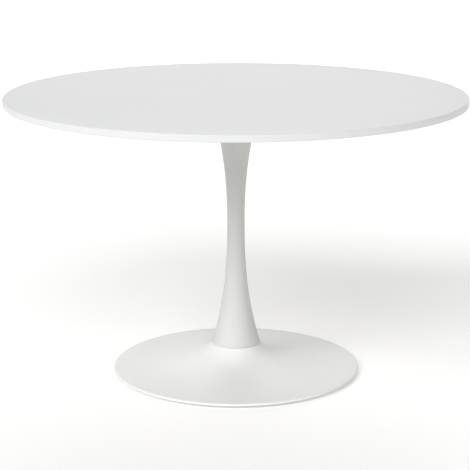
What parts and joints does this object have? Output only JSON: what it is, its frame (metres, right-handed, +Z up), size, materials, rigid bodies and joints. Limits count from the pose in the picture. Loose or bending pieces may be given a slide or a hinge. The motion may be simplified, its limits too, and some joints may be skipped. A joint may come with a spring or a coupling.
{
  "type": "round pedestal table",
  "caption": "Round dining table: a thin round top on a waisted trumpet column and a low trumpet base with screw levelling feet.",
  "frame": {"origin": "on the floor under the centre of the table, with the levelling feet screwed fully in", "axes": "+Z up; +X towards the first levelling foot; the table looks the same from every side"},
  "size_m": [1.1998, 1.2, 0.745],
  "materials": {
    "lacquered_board": "satin white lacquer on fibreboard",
    "powder_coated_steel": "matte white powder coat on steel",
    "powder_coated_iron": "matte white powder coat on cast iron",
    "zinc_plated_steel": "bright zinc plating",
    "brass": "turned and knurled",
    "grey_nylon": "moulded light grey nylon"
  },
  "bodies": {
    "table": {"table_top": "lacquered_board", "top_inserts": "brass", "mounting_plate": "powder_coated_steel", "centring_collar": "powder_coated_steel", "tie_rod_boss": "powder_coated_steel", "plate_screws": "zinc_plated_steel", "plate_washers": "zinc_plated_steel", "column_shell": "powder_coated_steel", "column_head_ring": "powder_coated_steel", "column_foot_ring": "powder_coated_steel", "joint_gasket": "grey_nylon", "locating_pins": "zinc_plated_steel", "base_casting": "powder_coated_iron", "tie_rod": "zinc_plated_steel", "tie_rod_washer": "zinc_plated_steel", "tie_rod_spring_washer": "zinc_plated_steel", "tie_rod_nut": "zinc_plated_steel"},
    "foot_1_pad": {"foot_pad_1": "grey_nylon"},
    "foot_1_stud": {"foot_stud_1": "zinc_plated_steel"},
    "foot_2_pad": {"foot_pad_2": "grey_nylon"},
    "foot_2_stud": {"foot_stud_2": "zinc_plated_steel"},
    "foot_3_pad": {"foot_pad_3": "grey_nylon"},
    "foot_3_stud": {"foot_stud_3": "zinc_plated_steel"},
    "foot_4_pad": {"foot_pad_4": "grey_nylon"},
    "foot_4_stud": {"foot_stud_4": "zinc_plated_steel"},
    "foot_5_pad": {"foot_pad_5": "grey_nylon"},
    "foot_5_stud": {"foot_stud_5": "zinc_plated_steel"},
    "foot_6_pad": {"foot_pad_6": "grey_nylon"},
    "foot_6_stud": {"foot_stud_6": "zinc_plated_steel"}
  },
  "joints": [
    {"name": "foot_1_travel", "type": "slide", "parent": "table", "child": "foot_1_pad", "axis": [0, 0, -1], "range_m": [0, 0.004]},
    {"name": "foot_1_turn", "type": "hinge", "parent": "foot_1_pad", "child": "foot_1_stud", "pos_m": [0.268, 0, 0.005], "axis": [0, 0, -1], "range_deg": [0, 1152]},
    {"name": "foot_2_travel", "type": "slide", "parent": "table", "child": "foot_2_pad", "axis": [0, 0, -1], "range_m": [0, 0.004]},
    {"name": "foot_2_turn", "type": "hinge", "parent": "foot_2_pad", "child": "foot_2_stud", "pos_m": [0.134, 0.23209, 0.005], "axis": [0, 0, -1], "range_deg": [0, 1152]},
    {"name": "foot_3_travel", "type": "slide", "parent": "table", "child": "foot_3_pad", "axis": [0, 0, -1], "range_m": [0, 0.004]},
    {"name": "foot_3_turn", "type": "hinge", "parent": "foot_3_pad", "child": "foot_3_stud", "pos_m": [-0.134, 0.23209, 0.005], "axis": [0, 0, -1], "range_deg": [0, 1152]},
    {"name": "foot_4_travel", "type": "slide", "parent": "table", "child": "foot_4_pad", "axis": [0, 0, -1], "range_m": [0, 0.004]},
    {"name": "foot_4_turn", "type": "hinge", "parent": "foot_4_pad", "child": "foot_4_stud", "pos_m": [-0.268, 0, 0.005], "axis": [0, 0, -1], "range_deg": [0, 1152]},
    {"name": "foot_5_travel", "type": "slide", "parent": "table", "child": "foot_5_pad", "axis": [0, 0, -1], "range_m": [0, 0.004]},
    {"name": "foot_5_turn", "type": "hinge", "parent": "foot_5_pad", "child": "foot_5_stud", "pos_m": [-0.134, -0.23209, 0.005], "axis": [0, 0, -1], "range_deg": [0, 1152]},
    {"name": "foot_6_travel", "type": "slide", "parent": "table", "child": "foot_6_pad", "axis": [0, 0, -1], "range_m": [0, 0.004]},
    {"name": "foot_6_turn", "type": "hinge", "parent": "foot_6_pad", "child": "foot_6_stud", "pos_m": [0.134, -0.23209, 0.005], "axis": [0, 0, -1], "range_deg": [0, 1152]}
  ],
  "couplings": [
    {"joint": "foot_1_travel", "follows": "foot_1_turn", "m_per_rad": 0.00019894},
    {"joint": "foot_2_travel", "follows": "foot_2_turn", "m_per_rad": 0.00019894},
    {"joint": "foot_3_travel", "follows": "foot_3_turn", "m_per_rad": 0.00019894},
    {"joint": "foot_4_travel", "follows": "foot_4_turn", "m_per_rad": 0.00019894},
    {"joint": "foot_5_travel", "follows": "foot_5_turn", "m_per_rad": 0.00019894},
    {"joint": "foot_6_travel", "follows": "foot_6_turn", "m_per_rad": 0.00019894}
  ]
}
